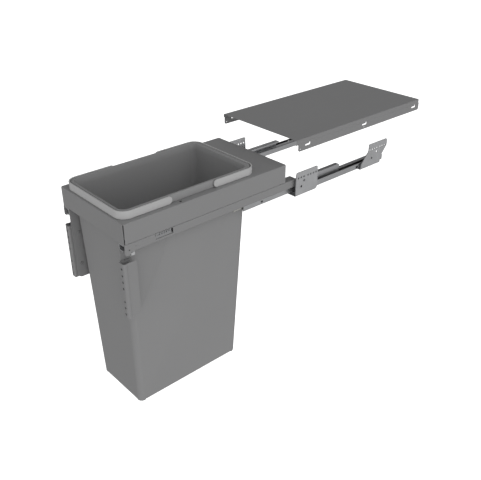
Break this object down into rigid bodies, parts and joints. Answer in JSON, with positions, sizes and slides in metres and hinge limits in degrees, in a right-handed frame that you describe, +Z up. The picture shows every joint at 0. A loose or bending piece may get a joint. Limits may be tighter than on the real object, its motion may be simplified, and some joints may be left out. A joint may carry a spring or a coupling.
{
  "type": "pull-out waste bin unit",
  "caption": "Waste bin hung in a folded steel tray on full-extension ball runners, with swing-up handles, door brackets and a fixed cabinet lid, shown pulled out.",
  "frame": {"origin": "middle of the cabinet opening's front edge, level with the row of bracket fixing holes", "axes": "+X across the cabinet to its right side, +Y into the cabinet, +Z up; the unit pulls out along -Y"},
  "size_m": [0.268, 0.971, 0.5656],
  "materials": {
    "grey_paint": "matt mid-grey powder coat on folded steel",
    "lid_paint": "matt mid-grey powder coat on folded steel",
    "bin_plastic": "satin mid-grey moulded plastic",
    "handle_plastic": "satin light-grey moulded plastic",
    "zinc_sheet": "bright zinc-plated steel sheet",
    "zinc_cast": "zinc-plated pressed steel",
    "bright_steel": "bright steel",
    "pale_plastic": "natural white plastic"
  },
  "bodies": {
    "cabinet": {"cabinet_rail_left": "zinc_sheet", "cabinet_rail_right": "zinc_sheet", "front_bracket_left": "zinc_sheet", "front_bracket_right": "zinc_sheet", "rear_bracket_left": "zinc_sheet", "rear_bracket_right": "zinc_sheet", "bracket_rivets_left": "bright_steel", "bracket_rivets_right": "bright_steel", "lid": "lid_paint"},
    "frame": {"frame_tray": "grey_paint", "side_profile_left": "grey_paint", "side_profile_right": "grey_paint", "drawer_rail_left": "zinc_sheet", "drawer_rail_right": "zinc_sheet", "frame_rivets_left": "bright_steel", "frame_rivets_right": "bright_steel", "gusset_plate_left": "grey_paint", "gusset_plate_right": "grey_paint", "door_bracket_left": "grey_paint", "door_bracket_right": "grey_paint", "door_screws_left": "bright_steel", "door_screws_right": "bright_steel", "door_nuts_left": "bright_steel", "door_nuts_right": "bright_steel", "lever_pin_left": "bright_steel", "lever_pin_right": "bright_steel"},
    "middle_left": {"middle_rail_left": "zinc_sheet", "rail_buffer_left": "pale_plastic"},
    "lower_balls_left": {"lower_cage_left": "pale_plastic", "lower_balls_left": "bright_steel"},
    "upper_balls_left": {"upper_cage_left": "pale_plastic", "upper_balls_left": "bright_steel"},
    "lever_left": {"release_lever_left": "zinc_cast"},
    "adjuster_left": {"adjuster_left": "zinc_cast"},
    "middle_right": {"middle_rail_right": "zinc_sheet", "rail_buffer_right": "pale_plastic"},
    "lower_balls_right": {"lower_cage_right": "pale_plastic", "lower_balls_right": "bright_steel"},
    "upper_balls_right": {"upper_cage_right": "pale_plastic", "upper_balls_right": "bright_steel"},
    "lever_right": {"release_lever_right": "zinc_cast"},
    "adjuster_right": {"adjuster_right": "zinc_cast"},
    "bin": {"bin": "bin_plastic"},
    "front_handle": {"front_handle": "handle_plastic"},
    "rear_handle": {"rear_handle": "handle_plastic"}
  },
  "joints": [
    {"name": "pull_out", "type": "slide", "parent": "cabinet", "child": "frame", "axis": [0, -1, 0], "range_m": [-0.488, 0]},
    {"name": "middle_left", "type": "slide", "parent": "cabinet", "child": "middle_left", "axis": [0, -1, 0], "range_m": [-0.155, 0]},
    {"name": "lower_balls_left", "type": "slide", "parent": "cabinet", "child": "lower_balls_left", "axis": [0, -1, 0], "range_m": [-0.0775, 0]},
    {"name": "upper_balls_left", "type": "slide", "parent": "cabinet", "child": "upper_balls_left", "axis": [0, -1, 0], "range_m": [-0.3216, 0]},
    {"name": "middle_right", "type": "slide", "parent": "cabinet", "child": "middle_right", "axis": [0, -1, 0], "range_m": [-0.155, 0]},
    {"name": "lower_balls_right", "type": "slide", "parent": "cabinet", "child": "lower_balls_right", "axis": [0, -1, 0], "range_m": [-0.0775, 0]},
    {"name": "upper_balls_right", "type": "slide", "parent": "cabinet", "child": "upper_balls_right", "axis": [0, -1, 0], "range_m": [-0.3216, 0]},
    {"name": "bin_lift", "type": "slide", "parent": "frame", "child": "bin", "axis": [0, 0, 1], "range_m": [0, 0.53]},
    {"name": "front_handle_swing", "type": "hinge", "parent": "bin", "child": "front_handle", "pos_m": [0, -0.35745, 0.05105], "axis": [-1, 0, 0], "range_deg": [0, 118]},
    {"name": "rear_handle_swing", "type": "hinge", "parent": "bin", "child": "rear_handle", "pos_m": [0, -0.22655, 0.05105], "axis": [1, 0, 0], "range_deg": [0, 118]},
    {"name": "release_left", "type": "hinge", "parent": "frame", "child": "lever_left", "pos_m": [-0.1206, -0.4532, -0.0146], "axis": [1, 0, 0], "range_deg": [0, 20], "stiffness_Nm_per_rad": 0.03, "springref_deg": -11.46},
    {"name": "adjust_left", "type": "slide", "parent": "frame", "child": "adjuster_left", "axis": [0, 1, 0], "range_m": [0, 0.004]},
    {"name": "release_right", "type": "hinge", "parent": "frame", "child": "lever_right", "pos_m": [0.1206, -0.4532, -0.0146], "axis": [1, 0, 0], "range_deg": [0, 20], "stiffness_Nm_per_rad": 0.03, "springref_deg": -11.46},
    {"name": "adjust_right", "type": "slide", "parent": "frame", "child": "adjuster_right", "axis": [0, 1, 0], "range_m": [0, 0.004]}
  ],
  "couplings": [
    {"joint": "middle_left", "follows": "pull_out", "ratio": 0.3176},
    {"joint": "lower_balls_left", "follows": "pull_out", "ratio": 0.1588},
    {"joint": "upper_balls_left", "follows": "pull_out", "ratio": 0.6588},
    {"joint": "middle_right", "follows": "pull_out", "ratio": 0.3176},
    {"joint": "lower_balls_right", "follows": "pull_out", "ratio": 0.1588},
    {"joint": "upper_balls_right", "follows": "pull_out", "ratio": 0.6588}
  ]
}
